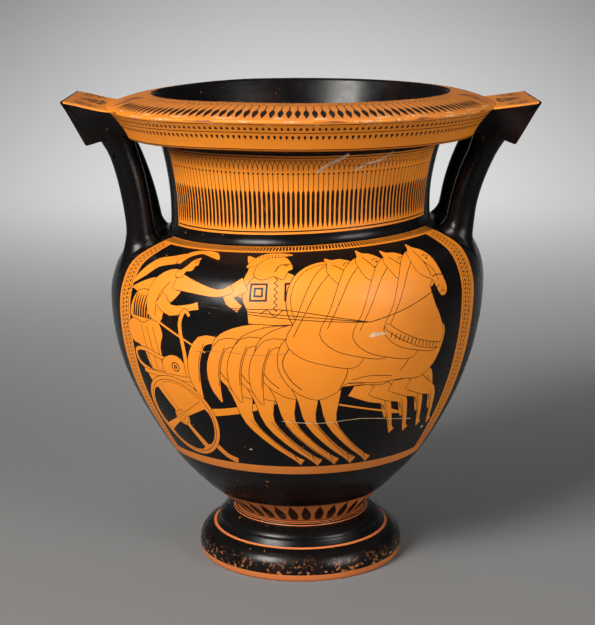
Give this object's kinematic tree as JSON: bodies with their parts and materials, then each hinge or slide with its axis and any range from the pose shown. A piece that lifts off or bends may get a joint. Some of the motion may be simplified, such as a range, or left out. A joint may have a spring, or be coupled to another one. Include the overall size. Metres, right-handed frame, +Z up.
{
  "type": "greek column krater",
  "caption": "Wide-mouthed terracotta mixing bowl on a moulded foot, with a straight neck, a broad overhanging rim and two column handles; black glaze with red-figure panels.",
  "frame": {"origin": "on the floor under the centre of the foot's resting ring", "axes": "+Z up through the mouth; the two handles lie on +X and -X; the front picture panel faces -Y"},
  "size_m": [0.406, 0.34, 0.421],
  "materials": {
    "glazed_terracotta": "fired clay with a black gloss slip; orange clay shows where the slip is left off"
  },
  "bodies": {
    "root": {"krater": "glazed_terracotta"}
  },
  "joints": []
}
